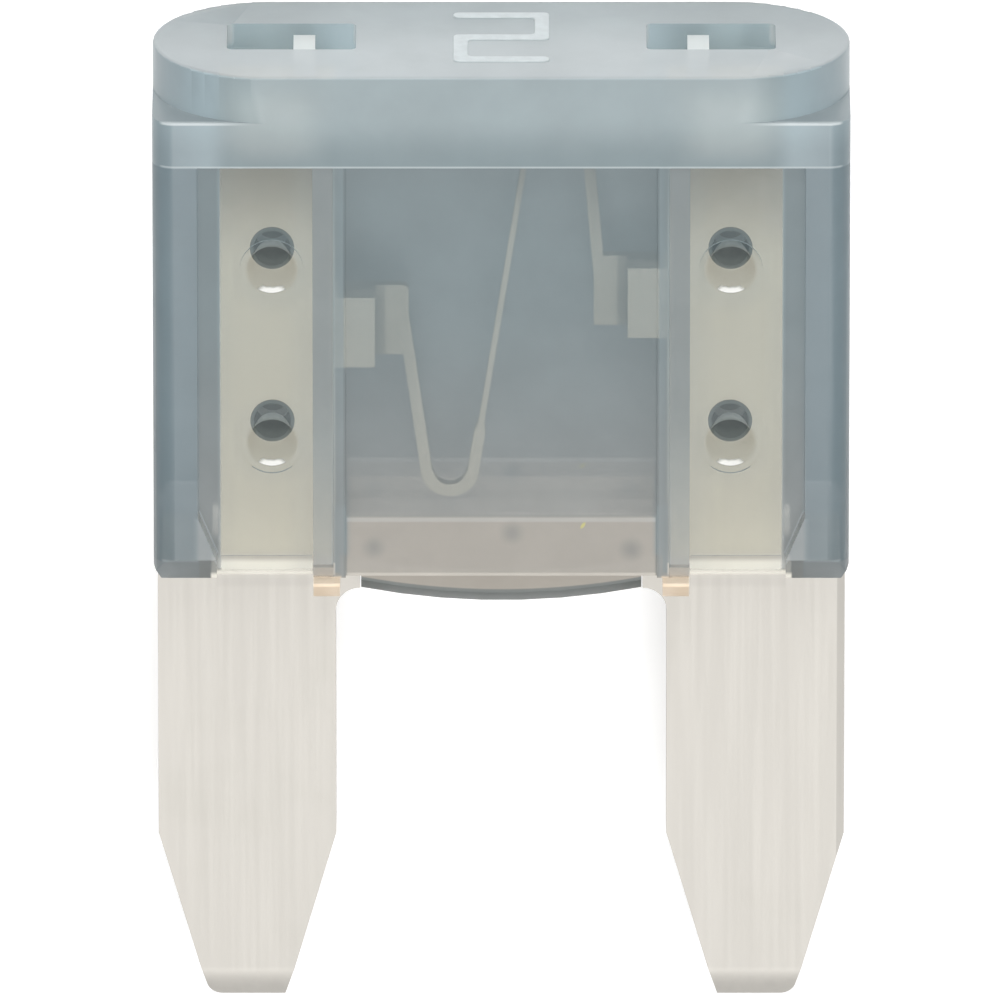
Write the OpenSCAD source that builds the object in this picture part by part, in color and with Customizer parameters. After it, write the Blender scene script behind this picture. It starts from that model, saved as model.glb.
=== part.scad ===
// Miniature two-blade automotive fuse, lying on its back, front face up.
// X runs across the fuse, Y along it with the head at +Y, Z through its thickness.
// Depths along the fuse are measured down from the top of the head.

/* [Overall] */
// Length from the top of the head to the blade tips
fuse_len = 15.95; // [15:0.05:18]
// Metal sheet thickness of the terminals
sheet_t = 0.8; // [0.6:0.05:0.9]
// Running clearance between the housing and the metal
fit_gap = 0.03; // [0.01:0.01:0.06]

/* [Housing] */
// Width of the housing
body_w = 10.9; // [10.8:0.05:12]
// Thickness of the housing, front to back
body_t = 3.6; // [3.4:0.05:4.2]
// Depth from the head's top to the housing's lower end
body_len = 8.47; // [8.3:0.01:8.8]
// Height of the head above the recessed panels
head_len = 1.52; // [1.45:0.01:1.8]
// Height of the round-ended part of the head
crown_len = 0.78; // [0.5:0.01:1.2]
// Edge radius round the head's top
crown_edge = 0.06; // [0.03:0.01:0.2]
// Corner radius of the housing below the crown
corner_r = 0.35; // [0.1:0.05:0.6]
// Width of the full-thickness wing at each side
wing_w = 0.7; // [0.5:0.05:0.85]
// Depth of the bevel along the lower end of the wings
wing_bevel = 0.35; // [0.1:0.05:0.5]
// Height of that bevel
wing_bevel_len = 0.42; // [0.1:0.01:0.6]
// Width of the bevel at the lower outer corners of the wings
corner_bevel = 0.12; // [0.05:0.01:0.2]
// Height of that corner bevel
corner_bevel_len = 0.27; // [0.1:0.01:0.35]
// Width of the ramp at the foot of each wing
ramp_w = 0.29; // [0.1:0.01:0.4]
// Height of that ramp
ramp_len = 0.7; // [0.4:0.05:1.2]

/* [Panels and ribs] */
// Depth of the recessed panels below the wings
panel_sink = 0.35; // [0.2:0.05:0.4]
// Bevel along the lower edge of each panel
panel_bevel = 0.16; // [0.05:0.01:0.2]
// Further depth of the window below the panels
window_sink = 0.1; // [0.05:0.01:0.15]
// Side wall between each terminal and the window
window_side = 0.16; // [0.1:0.01:0.3]
// Distance from each terminal's inner edge to the inner side of its rib
rib_set = 0.03; // [0:0.01:0.15]
// Width of each rib
rib_w = 0.32; // [0.2:0.01:0.4]
// Height of each rib above the panels
rib_rise = 0.27; // [0.1:0.01:0.35]
// Length of the rib foot below the housing
rib_foot = 0.3; // [0.29:0.01:0.4]
// Step of the rib foot inwards from its rib
foot_step = 0.1; // [0.02:0.01:0.15]
// Bevel along the lower edge of the rib foot
foot_bevel = 0.25; // [0.05:0.01:0.28]

/* [Link chamber] */
// Depth of the chamber ceiling below the head's top
chamber_top = 1.3; // [1.1:0.05:1.6]
// Height of the solid walls under the chamber
sill_h = 0.62; // [0.4:0.01:0.7]
// Height of the thickened band at the foot of the window
bridge_h = 0.84; // [0.75:0.01:1.3]
// Thickness of the window wall
window_wall = 0.45; // [0.3:0.05:0.6]
// Gap between the ends of the lower lips and the blade shoulders, seen from the front
lip_gap = 0.02; // [0.02:0.01:0.3]
// Length of the bowed lips below the housing, at their corners
lip_drop = 0.38; // [0.2:0.01:0.42]
// Bow of the lips at the middle
lip_bow = 0.22; // [0.05:0.01:0.25]
// Bevel along the lower edge of the lips
lip_bevel = 0.19; // [0.05:0.01:0.25]
// Thickness of each lip
lip_t = 0.6; // [0.4:0.05:0.7]

/* [Probe openings] */
// Distance from each terminal's inner edge to the centre of its probe opening
probe_set = 0.68; // [0.5:0.01:0.8]
// Width of each probe opening
probe_w = 2.02; // [1.6:0.02:2.1]
// Size of each probe opening through the thickness
probe_t = 1.2; // [1:0.05:1.4]
// Shift of the probe openings towards the back
probe_back = 0.13; // [0:0.01:0.15]
// Depth of the probe openings
probe_len = 1.2; // [1:0.05:1.3]
// Corner radius of the probe openings
probe_r = 0.1; // [0.05:0.01:0.4]

/* [Stakes] */
// Distance from each terminal's inner edge to its stakes
stake_set = 0.99; // [0.8:0.01:1.1]
// Depth of the upper stakes
stake_top = 3.34; // [3.1:0.01:3.5]
// Spacing of the stakes along the fuse
stake_step = 2.88; // [2.6:0.01:3]
// Diameter of the stake holes in the metal
stake_d = 0.64; // [0.5:0.02:0.8]
// Diameter of the dimple rim
dimple_d = 0.76; // [0.7:0.02:0.9]
// Diameter of the dimple floor
dimple_floor_d = 0.52; // [0.4:0.02:0.6]
// Depth of each dimple
dimple_sink = 0.7; // [0.4:0.05:0.75]
// Width of the shallow pad round the stakes
pad_w = 1; // [0.92:0.02:1.2]
// Depth of the shallow pad
pad_sink = 0.05; // [0.02:0.01:0.1]

/* [Terminals] */
// Width of the terminals inside the housing
strip_w = 1.82; // [1.6:0.02:1.84]
// Depth of the top edge of the terminals
strip_top = 0.6; // [0.5:0.05:0.8]
// Width of the probe tip
tip_w = 0.34; // [0.3:0.01:0.6]
// Distance from each terminal's inner edge to the centre of its probe tip
tip_set = 0.48; // [0.35:0.01:0.7]
// Depth of the probe tip below the head's top
tip_top = 0.09; // [0.05:0.01:0.2]

/* [Blades] */
// Width of each blade
blade_w = 2.8; // [2.6:0.05:2.9]
// Step from the housing's side in to the outer edge of each blade
blade_inset = 0.05; // [0:0.01:0.1]
// Gap between the wings and the blade shoulders
shoulder_gap = 0.05; // [0.02:0.01:0.1]
// Height of the blade shoulders
shoulder_h = 0.51; // [0.4:0.01:0.7]
// Width of the inner shoulders
shoulder_w = 0.38; // [0.38:0.01:0.45]
// Fillet under the inner shoulders
shoulder_r = 0.38; // [0.1:0.01:0.38]
// Length of the tapered point of each blade
point_len = 2.8; // [2:0.1:3.5]
// Width of the flat end of each blade
point_w = 1.18; // [0.8:0.02:1.6]
// Rounding of the outer corner of each blade's end
point_r = 0.25; // [0.05:0.01:0.4]
// Length of the coined lead-in at the tips
lead_len = 0.5; // [0.3:0.05:0.8]
// Metal taken from each face at the lead-in
lead_sink = 0.22; // [0.1:0.01:0.28]

/* [Link] */
// Thickness of the skived link
link_t = 0.2; // [0.12:0.02:0.3]
// Length of the tabs that carry the link
tab_len = 1.16; // [0.9:0.02:1.3]
// Depth of the left tab
left_tab_top = 4.18; // [4:0.02:4.4]
// Depth of the right tab
right_tab_top = 3.69; // [3.5:0.01:3.9]
// Reach of the full-thickness part of the tabs from the terminals
tab_reach = 0.62; // [0.5:0.01:0.7]
// Reach of the thinned ends of the tabs
thin_w = 0.53; // [0.45:0.01:0.6]
// Rounding of the upper corner of each thinned end
thin_r = 0.12; // [0.05:0.01:0.2]
// Width of the link's legs and lower bend
leg_w = 0.18; // [0.14:0.01:0.2]
// Width of the melting stretch of the link
melt_w = 0.09; // [0.06:0.01:0.12]
// Depth at which the melting stretch begins
melt_start = 6.66; // [6:0.02:6.8]
// Length over which the link narrows to it
neck_len = 0.2; // [0.1:0.01:0.3]
// Depth of the centre of the lower bend
low_bend_y = 7.25; // [7:0.01:7.3]
// Mean radius of the lower bend
low_bend_r = 0.37; // [0.32:0.01:0.4]
// Depth of the centre of the upper bend
high_bend_y = 2.3; // [2.1:0.01:2.5]
// Mean radius of the upper bend
high_bend_r = 0.52; // [0.44:0.01:0.54]
// Lean of the left leg
left_lean = 8; // [6:0.1:9]
// Lean of the right leg
right_lean = 5; // [3:0.1:6]

/* [Hidden] */
$fn = 48;
eps = 0.01;
over = 1;
join = 0.06;
top_y = fuse_len / 2;
mid_z = body_t / 2;
half_w = body_w / 2;
metal_back = mid_z - sheet_t / 2;
metal_front = mid_z + sheet_t / 2;
slot_t = sheet_t + 2 * fit_gap;
blade_out = half_w - blade_inset;
blade_in = blade_out - blade_w;
strip_in = blade_in;
slot_half = strip_in + strip_w + fit_gap;
panel_half = half_w - wing_w;
window_half = strip_in - window_side;
rib_in = strip_in + rib_set;
probe_x = strip_in + probe_set;
tip_x = strip_in + tip_set;
stake_x = strip_in + stake_set;
shoulder_in = blade_in - shoulder_w;
lip_half = shoulder_in - lip_gap;
tab_in = strip_in - tab_reach;
thin_in = tab_in - thin_w;
window_z = body_t - panel_sink - window_sink;
chamber_t = 2 * (window_z - window_wall - mid_z);
dimple_plug_d = stake_d - 2 * fit_gap;
stake_mid = stake_top + stake_step / 2;
shoulder_top = body_len + shoulder_gap;
shoulder_end = shoulder_top + shoulder_h;
chamber_end = body_len - sill_h;
bridge_top = body_len - bridge_h;
lip_len = body_len + lip_drop;
point_x = blade_out - blade_w / 2;
bow_r = (lip_half * lip_half + lip_bow * lip_bow) / (2 * lip_bow);

// Distance along Y for a depth below the head's top
function at(depth) = top_y - depth;

// Outer corner of a blade's end before rounding, and where its arc begins
point_end = [point_x + point_w / 2, at(fuse_len)];
point_slant = atan2(point_len, blade_out - point_end[0]);
point_trim = point_r * tan(point_slant / 2);

// Straight stretches of the link, tangent to its bends, starting from the tabs
left_leg_x = -thin_in;
right_leg_x = thin_in + leg_w / 3;
left_foot_y = at(low_bend_y) - low_bend_r * sin(left_lean);
left_foot_x = left_leg_x + (at(left_tab_top + tab_len) - left_foot_y) * tan(left_lean);
left_foot = [left_foot_x, left_foot_y];
low_c = left_foot + low_bend_r * [cos(left_lean), sin(left_lean)];
right_head_y = at(high_bend_y) + high_bend_r * sin(right_lean);
right_head_x = right_leg_x - (right_head_y - at(right_tab_top)) * tan(right_lean);
right_head = [right_head_x, right_head_y];
high_c = right_head - high_bend_r * [cos(right_lean), sin(right_lean)];

// Cross tangent between the two bends: the melting stretch
centres = high_c - low_c;
melt_lean = atan2(centres[0], centres[1]) - asin((low_bend_r + high_bend_r) / norm(centres));
melt_foot = low_c + low_bend_r * [cos(melt_lean), -sin(melt_lean)];
melt_head = high_c - high_bend_r * [cos(melt_lean), -sin(melt_lean)];

// Point on a leaning line at another height
function slide(p, y, lean) = [p[0] + (y - p[1]) * tan(lean), y];

// Point further on, where a straight stretch runs into its bend
function past(p, q) = q + join * (q - p) / norm(q - p);

// Profile drawn in X and Z, swept between two depths
module run(depth_a, depth_b) {
    translate([0, at(depth_a), 0])
        rotate([90, 0, 0])
            linear_extrude(depth_b - depth_a) children();
}

// Plan drawn in X and Y, filling the thickness from z_a to z_b
module plate(z_a, z_b) {
    translate([0, 0, z_a]) linear_extrude(z_b - z_a) children();
}

// Both faces of the housing, front and back
module both_faces() {
    children();
    translate([0, 0, body_t]) mirror([0, 0, 1]) children();
}

// Both sides of the fuse, right and left
module both_sides() {
    children();
    mirror([1, 0, 0]) children();
}

// Rectangle in plan between two distances and two depths
module patch(x_a, x_b, depth_a, depth_b) {
    translate([x_a, at(depth_b)]) square([x_b - x_a, depth_b - depth_a]);
}

// Rectangle with round corners, centred on a point
module round_rect(w, h, r) {
    square([w - 2 * r, h], center = true);
    square([w, h - 2 * r], center = true);
    for (sx = [-1, 1])
        for (sy = [-1, 1])
            translate([sx * (w / 2 - r), sy * (h / 2 - r)]) circle(r);
}

// Strip with full-round ends, lying along X, centred on a point
module stadium(l, w) {
    square([l - w, w], center = true);
    for (side = [-1, 1])
        translate([side * (l - w) / 2, 0]) circle(d = w);
}

// Straight band between two points
module band(p, q, w) {
    d = q - p;
    translate(p)
        rotate(atan2(d[1], d[0]))
            translate([0, -w / 2]) square([norm(d), w]);
}

// Bent band: the part of a ring between two angles
module bend(c, r, w, a_from, a_to) {
    reach = 3 * r;
    mid = (a_from + a_to) / 2;
    translate(c)
        intersection() {
            difference() {
                circle(r + w / 2);
                circle(r - w / 2);
            }
            polygon([
                [0, 0],
                reach * [cos(a_from), sin(a_from)],
                reach * [cos((a_from + mid) / 2), sin((a_from + mid) / 2)],
                reach * [cos(mid), sin(mid)],
                reach * [cos((a_to + mid) / 2), sin((a_to + mid) / 2)],
                reach * [cos(a_to), sin(a_to)]
            ]);
        }
}

// Upright rectangle with its far corner rounded, drawn from the crown's foot
module crown_profile(w) {
    square([w - crown_edge, crown_len]);
    square([w, crown_len - crown_edge]);
    translate([w - crown_edge, crown_len - crown_edge]) circle(crown_edge);
}

// Crown of the head: full-round ends, with its top edge rounded all the way round
module crown() {
    end_x = half_w - body_t / 2;
    translate([0, at(crown_len), mid_z]) {
        for (side = [-1, 1])
            translate([side * end_x, 0, 0])
                rotate([-90, 0, 0]) rotate_extrude() crown_profile(body_t / 2);
        for (turn = [0, 180])
            rotate([0, turn, 0])
                translate([-end_x, 0, 0])
                    rotate([90, 0, 90])
                        linear_extrude(2 * end_x)
                            mirror([1, -1]) crown_profile(body_t / 2);
    }
}

// Outer form: the crown on a squarer body
module housing_block() {
    crown();
    translate([0, 0, mid_z])
        run(crown_len - eps, body_len) round_rect(body_w, body_t, corner_r);
}

// Bevel along the lower end of one face, across the wings
module wing_bevel_cut() {
    rotate([90, 0, 90])
        translate([0, 0, -half_w - over])
            linear_extrude(body_w + 2 * over)
                polygon([
                    [at(body_len - wing_bevel_len), body_t + eps],
                    [at(body_len + over), body_t + eps],
                    [at(body_len + over), body_t - wing_bevel],
                    [at(body_len), body_t - wing_bevel],
                    [at(body_len - wing_bevel_len), body_t]
                ]);
}

// Bevel at the lower outer corner of one wing
module corner_cut() {
    plate(-over, body_t + over)
        polygon([
            [half_w - corner_bevel, at(body_len + eps)],
            [half_w + eps, at(body_len + eps)],
            [half_w + eps, at(body_len - corner_bevel_len)],
            [half_w, at(body_len - corner_bevel_len)],
            [half_w - corner_bevel, at(body_len)]
        ]);
}

// Recess of one terminal panel, narrowed at its foot by the wing's ramp
module panel_cut() {
    plate(body_t - panel_sink, body_t + over)
        polygon([
            [rib_in + rib_w, at(head_len)],
            [panel_half, at(head_len)],
            [panel_half, at(body_len - wing_bevel_len - ramp_len)],
            [panel_half - ramp_w, at(body_len - wing_bevel_len)],
            [panel_half - ramp_w, at(body_len + over)],
            [rib_in + rib_w, at(body_len + over)]
        ]);
}

// Recess over one rib and over the window with its side strips
module window_cut() {
    rib_z = body_t - panel_sink + rib_rise;
    plate(rib_z, body_t + over)
        patch(-rib_in - rib_w - eps, rib_in + rib_w + eps, head_len, body_len + over);
    plate(body_t - panel_sink, body_t + over)
        patch(-rib_in, rib_in, head_len, body_len + over);
    plate(window_z, body_t + over)
        patch(-window_half, window_half, head_len, body_len + over);
}

// Bevel along the lower edge of one terminal panel
module panel_bevel_cut() {
    face = body_t - panel_sink;
    translate([rib_in + rib_w, 0, 0])
        rotate([90, 0, 90])
            linear_extrude(panel_half - ramp_w - rib_in - rib_w)
                polygon([
                    [at(body_len - panel_bevel), face],
                    [at(body_len - panel_bevel), face + eps],
                    [at(body_len + over), face + eps],
                    [at(body_len + over), face - panel_bevel],
                    [at(body_len), face - panel_bevel]
                ]);
}

// Shallow pad and the two staking dimples of one panel
module stake_cut() {
    face = body_t - panel_sink;
    plate(face - pad_sink, face + over)
        translate([stake_x, at(stake_mid)]) rotate(90) stadium(stake_step + pad_w, pad_w);
    for (depth = [stake_top, stake_top + stake_step])
        translate([stake_x, at(depth), face - dimple_sink])
            cylinder(h = dimple_sink - pad_sink + eps, d1 = dimple_floor_d, d2 = dimple_d);
}

// Opening through the crown that bares the probe tip
module probe_cut() {
    translate([0, 0, mid_z - probe_back])
        run(-over, probe_len)
            translate([probe_x, 0]) round_rect(probe_w, probe_t, probe_r);
}

// Slot for the stamped metal, open at the lower end
module slot_cut() {
    plate(mid_z - slot_t / 2, mid_z + slot_t / 2) {
        patch(window_half - eps, slot_half, strip_top - fit_gap, body_len + over);
        patch(0, window_half, chamber_top, body_len + over);
    }
}

// Chamber round the link, narrowing towards the lower lips
module chamber_cut() {
    plate(mid_z - chamber_t / 2, mid_z + chamber_t / 2)
        patch(0, window_half, chamber_top, bridge_top);
    plate(mid_z - slot_t, mid_z + slot_t)
        patch(0, window_half, bridge_top - eps, chamber_end);
}

// Bowed lower lip of one face, between the blade shoulders, bevelled at its edge
module lip() {
    inner = mid_z + slot_t / 2;
    straight = lip_t - lip_bevel;
    intersection() {
        plate(inner, inner + lip_t)
            patch(-lip_half, lip_half, body_len - eps, lip_len + lip_bow);
        translate([0, at(lip_len + lip_bow) + bow_r, inner]) {
            cylinder(h = straight, r = bow_r, $fn = 240);
            translate([0, 0, straight])
                cylinder(h = lip_bevel, r1 = bow_r, r2 = bow_r - lip_bevel, $fn = 240);
        }
    }
}

// Rib feet of one face, in front of the blade shoulders
module rib_feet() {
    inner = mid_z + slot_t / 2;
    outer = body_t - panel_sink + rib_rise;
    foot_end = body_len + rib_foot;
    both_sides()
        translate([rib_in - foot_step, 0, 0])
            rotate([90, 0, 90])
                linear_extrude(rib_w + foot_step)
                    polygon([
                        [at(body_len - eps), inner],
                        [at(body_len - eps), outer],
                        [at(foot_end - foot_bevel), outer],
                        [at(foot_end), outer - foot_bevel],
                        [at(foot_end), inner]
                    ]);
}

// Plastic driven through the metal at each stake
module stake_plugs() {
    both_sides()
        for (depth = [stake_top, stake_top + stake_step])
            translate([stake_x, at(depth), metal_back - 2 * fit_gap])
                cylinder(h = sheet_t + 4 * fit_gap, d = dimple_plug_d);
}

module housing() {
    color([0.62, 0.68, 0.7, 0.6]) {
        difference() {
            housing_block();
            both_faces() {
                wing_bevel_cut();
                window_cut();
                both_sides() {
                    panel_cut();
                    panel_bevel_cut();
                    stake_cut();
                }
            }
            both_sides() {
                corner_cut();
                probe_cut();
                slot_cut();
                chamber_cut();
            }
        }
        both_faces() {
            lip();
            rib_feet();
        }
        stake_plugs();
    }
}

// Outline of one terminal: probe tip, strip, shoulder and pointed blade
module terminal_plan() {
    difference() {
        union() {
            patch(tip_x - tip_w / 2, tip_x + tip_w / 2, tip_top, strip_top + eps);
            patch(strip_in, strip_in + strip_w, strip_top, shoulder_top + eps);
            patch(shoulder_in, blade_out, shoulder_top, shoulder_end);
            polygon([
                [blade_in, at(shoulder_end - eps)],
                [blade_out, at(shoulder_end - eps)],
                [blade_out, at(fuse_len - point_len)],
                point_end + point_trim * [cos(point_slant), sin(point_slant)],
                point_end - [point_trim, 0],
                [point_x - point_w / 2, at(fuse_len)],
                [blade_in, at(fuse_len - point_len)]
            ]);
            translate(point_end + [-point_trim, point_r]) circle(point_r);
            patch(blade_in - shoulder_r, blade_in, shoulder_end - eps, shoulder_end + shoulder_r);
        }
        translate([blade_in - shoulder_r, at(shoulder_end + shoulder_r)]) circle(shoulder_r);
        for (depth = [stake_top, stake_top + stake_step])
            translate([stake_x, at(depth)]) circle(d = stake_d);
    }
}

// Coined lead-in on both faces of both tips
module lead_cut() {
    rotate([90, 0, 90])
        translate([0, 0, -half_w])
            linear_extrude(body_w)
                polygon([
                    [at(fuse_len - lead_len), metal_front],
                    [at(fuse_len - lead_len), metal_front + over],
                    [at(fuse_len + over), metal_front + over],
                    [at(fuse_len + over), metal_front - lead_sink],
                    [at(fuse_len), metal_front - lead_sink]
                ]);
}

// Thinned end of one tab, with its upper corner rounded
module thin_tab(depth) {
    patch(thin_in + thin_r, tab_in + eps, depth, depth + tab_len);
    patch(thin_in, tab_in, depth + thin_r, depth + tab_len);
    translate([thin_in + thin_r, at(depth + thin_r)]) circle(thin_r);
}

// Skived link: tab, leg, lower bend, melting stretch, upper bend, leg, tab
module link_plan() {
    left_y = at(left_tab_top + tab_len);
    right_y = at(right_tab_top);
    melt_y = at(melt_start);
    mirror([1, 0]) thin_tab(left_tab_top);
    thin_tab(right_tab_top);
    left_end = slide(left_foot, left_y + 0.8 * tab_len, -left_lean);
    melt_mid = slide(melt_foot, melt_y, melt_lean);
    right_end = slide(right_head, right_y - tab_len / 3, -right_lean);
    band(left_end, past(left_end, left_foot), leg_w);
    bend(low_c, low_bend_r, leg_w + 2 * eps, 180 + left_lean, 360 - melt_lean);
    band(past(melt_mid, melt_foot), melt_mid, leg_w);
    translate(melt_mid)
        rotate(-melt_lean)
            polygon([
                [leg_w / 2, -eps],
                [leg_w / 2, 0],
                [melt_w / 2, neck_len],
                [-melt_w / 2, neck_len],
                [-leg_w / 2, 0],
                [-leg_w / 2, -eps]
            ]);
    band(melt_foot, past(melt_foot, melt_head), melt_w);
    bend(high_c, high_bend_r, melt_w + 2 * eps, right_lean, 180 - melt_lean);
    band(right_end, past(right_end, right_head), leg_w);
}

module fuse_element() {
    color([0.85, 0.85, 0.82]) {
        difference() {
            plate(metal_back, metal_front) {
                both_sides() terminal_plan();
                patch(-strip_in - eps, -tab_in, left_tab_top, left_tab_top + tab_len);
                patch(tab_in, strip_in + eps, right_tab_top, right_tab_top + tab_len);
            }
            both_faces() lead_cut();
        }
        plate(metal_back, metal_back + link_t) link_plan();
    }
}

housing();
fuse_element();
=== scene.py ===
"""Looks of a miniature two-blade automotive fuse, lying on its back."""

import math
from types import SimpleNamespace

import bpy
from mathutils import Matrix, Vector


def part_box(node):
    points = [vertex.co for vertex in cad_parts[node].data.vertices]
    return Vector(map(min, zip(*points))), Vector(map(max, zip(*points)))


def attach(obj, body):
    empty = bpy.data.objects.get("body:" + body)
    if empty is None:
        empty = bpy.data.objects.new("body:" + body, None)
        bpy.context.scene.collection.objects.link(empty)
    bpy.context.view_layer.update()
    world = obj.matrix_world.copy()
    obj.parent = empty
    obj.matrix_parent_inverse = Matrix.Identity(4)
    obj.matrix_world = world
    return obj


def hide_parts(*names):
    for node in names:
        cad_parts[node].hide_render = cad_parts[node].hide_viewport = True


bl_info = {
    "name": "Blade Fuse",
    "version": (1, 0, 0),
    "blender": (4, 5, 0),
    "location": "View3D > Sidebar > Fuse",
    "description": "Builds the see-through housing, the stamped element and the stage of a blade fuse",
    "category": "Object",
}

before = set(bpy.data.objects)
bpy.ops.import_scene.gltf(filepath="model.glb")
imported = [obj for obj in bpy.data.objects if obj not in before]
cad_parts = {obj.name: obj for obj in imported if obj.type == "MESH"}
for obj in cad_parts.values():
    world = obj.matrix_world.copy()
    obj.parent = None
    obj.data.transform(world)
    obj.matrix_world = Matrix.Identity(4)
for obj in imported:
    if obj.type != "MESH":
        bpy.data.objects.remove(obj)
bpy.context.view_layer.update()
HOUSING_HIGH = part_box("housing")[1]

MM = 0.001

# Places on the fuse, in millimetres: depths are measured down from the head's top
HEAD_TOP = HOUSING_HIGH.y / MM
MID_Z = HOUSING_HIGH.z / MM / 2
CROWN_EDGE = 0.06
LEDGE = 0.78
HEAD_FOOT = 1.52
BODY_FOOT = 8.47
WING_IN = 4.75
RIB_IN = 2.63
RIB_OUT = 2.95
WINDOW_HALF = 2.44
CHAMBER_TOP = 1.3
CHAMBER_HALF_Z = 0.92
SLOT_HALF_Z = 0.45
SLOT_HALF_X = 4.47
BRIDGE_TOP = 7.63
STAKE_X = 3.59
STAKE_DEPTHS = (3.34, 6.22)
DIMPLE_R = 0.4
STAKE_R = 0.34
BAND_TOP = 7.5
# Marks in the plastic below the window: place across, depth and radius
SPOTS = ((-2.0, 8.0, 0.24), (0.17, 7.75, 0.26), (2.04, 8.03, 0.26))
FLAKE_X = 1.28
FLAKE_DEPTH = 7.63
FLAKE_LEAN = 0.8
LIP_DROP = 0.38
LIP_BOW = 0.22
PANEL_FOOT = 8.31
RAMP_TOP = 7.35
RAMP_FOOT = 8.05
RAMP_SLOPE = 0.414


def at(depth):
    """Y in millimetres for a depth below the head's top."""
    return HEAD_TOP - depth


# Selection and mesh helpers


def deselect_all():
    """Leaves nothing selected, so that an operator acts on its own object only."""
    for other in bpy.context.selected_objects:
        other.select_set(False)


def make_active(piece):
    """Selects one object alone and makes it active."""
    deselect_all()
    piece.select_set(True)
    bpy.context.view_layer.objects.active = piece


def copy_of_node(node_name, piece_name):
    """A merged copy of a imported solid, free of its loose triangles."""
    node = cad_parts[node_name]
    piece = bpy.data.objects.new(piece_name, node.data.copy())
    bpy.context.scene.collection.objects.link(piece)
    piece.data.name = piece_name
    piece.data.materials.clear()
    make_active(piece)
    bpy.ops.object.mode_set(mode="EDIT")
    bpy.ops.mesh.select_mode(type="VERT")
    bpy.ops.mesh.select_all(action="SELECT")
    bpy.ops.mesh.remove_doubles(threshold=0.0005 * MM)
    bpy.ops.mesh.dissolve_limited(angle_limit=math.radians(0.5))
    bpy.ops.object.mode_set(mode="OBJECT")
    return piece


def round_edges(piece, width, angle, segments=2):
    """Rounds the edges sharper than an angle, then smooths what lies below it."""
    make_active(piece)
    bevel = piece.modifiers.new("edge_round", "BEVEL")
    bevel.width = width
    bevel.segments = segments
    bevel.limit_method = "ANGLE"
    bevel.angle_limit = angle
    bpy.ops.object.modifier_apply(modifier=bevel.name)
    bpy.ops.object.shade_smooth_by_angle(angle=math.radians(35))
    level = piece.modifiers.new("flat_faces_first", "WEIGHTED_NORMAL")
    level.weight = 100
    level.keep_sharp = True
    bpy.ops.object.modifier_apply(modifier=level.name)


def finish_piece(piece, slot, *nodes):
    """Hangs a piece on the root body and hides the solids that it stands for; the slot for its finish
    is not used.
    """
    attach(piece, "root")
    if nodes:
        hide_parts(*nodes)
    deselect_all()


# Node helpers


def new_material(name):
    """A material with an empty node tree but for its output and shader."""
    material = bpy.data.materials.new(name)
    material.use_nodes = True
    tree = material.node_tree
    tree.nodes.clear()
    output = tree.nodes.new("ShaderNodeOutputMaterial")
    shader = tree.nodes.new("ShaderNodeBsdfPrincipled")
    tree.links.new(shader.outputs["BSDF"], output.inputs["Surface"])
    return material, tree, shader


def feed(tree, socket, value):
    """Links a socket, or sets it where the value is plain."""
    if isinstance(value, bpy.types.NodeSocket):
        tree.links.new(value, socket)
    else:
        socket.default_value = value


def calc(tree, operation, *values):
    """One Math node."""
    node = tree.nodes.new("ShaderNodeMath")
    node.operation = operation
    for socket, value in zip(node.inputs, values):
        feed(tree, socket, value)
    return node.outputs[0]


def blend(tree, factor, first, second, kind="MIX"):
    """One colour Mix node."""
    node = tree.nodes.new("ShaderNodeMix")
    node.data_type = "RGBA"
    node.blend_type = kind
    feed(tree, node.inputs["Factor"], factor)
    feed(tree, node.inputs["A"], first)
    feed(tree, node.inputs["B"], second)
    return node.outputs["Result"]


def mixed(tree, factor, first, second):
    """One Mix node for plain numbers."""
    node = tree.nodes.new("ShaderNodeMix")
    node.data_type = "FLOAT"
    feed(tree, node.inputs["Factor"], factor)
    feed(tree, node.inputs["A"], first)
    feed(tree, node.inputs["B"], second)
    return node.outputs["Result"]


def fade(tree, value, start, end, low=0.0, high=1.0):
    """Smooth step of a value between two places."""
    node = tree.nodes.new("ShaderNodeMapRange")
    node.interpolation_type = "SMOOTHSTEP"
    feed(tree, node.inputs["Value"], value)
    node.inputs["From Min"].default_value = start
    node.inputs["From Max"].default_value = end
    node.inputs["To Min"].default_value = low
    node.inputs["To Max"].default_value = high
    return node.outputs["Result"]


def fall(tree, value, start, end):
    """One up to a place, then falling to zero."""
    return fade(tree, value, start, end, 1.0, 0.0)


def between(tree, value, low, high, soft=0.02):
    """One between two places and zero beyond them."""
    rise = fade(tree, value, low - soft, low + soft)
    return calc(tree, "MULTIPLY", rise, fall(tree, value, high - soft, high + soft))


def both(tree, first, *others):
    """Where masks meet."""
    for other in others:
        first = calc(tree, "MULTIPLY", first, other)
    return first


def lay(tree, colour, mask, tint, strength=1.0):
    """Lays a tint over a colour where a mask is."""
    if strength != 1.0:
        mask = calc(tree, "MULTIPLY", mask, strength)
    return blend(tree, mask, colour, tuple(tint))


def darken(tree, colour, mask, share):
    """Keeps a share of a colour where a mask is."""
    return blend(tree, 1.0, colour, mixed(tree, mask, 1.0, share), "MULTIPLY")


def lessen(tree, value, mask, share):
    """Keeps a share of a number where a mask is."""
    return calc(tree, "MULTIPLY", value, mixed(tree, mask, 1.0, share))


def place_in_mm(tree):
    """The object's own coordinates in millimetres, whole and split."""
    source = tree.nodes.new("ShaderNodeTexCoord")
    scaled = tree.nodes.new("ShaderNodeVectorMath")
    scaled.operation = "SCALE"
    scaled.inputs["Scale"].default_value = 1 / MM
    tree.links.new(source.outputs["Object"], scaled.inputs[0])
    split = tree.nodes.new("ShaderNodeSeparateXYZ")
    tree.links.new(scaled.outputs[0], split.inputs[0])
    return scaled.outputs[0], split.outputs[0], split.outputs[1], split.outputs[2]


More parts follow.
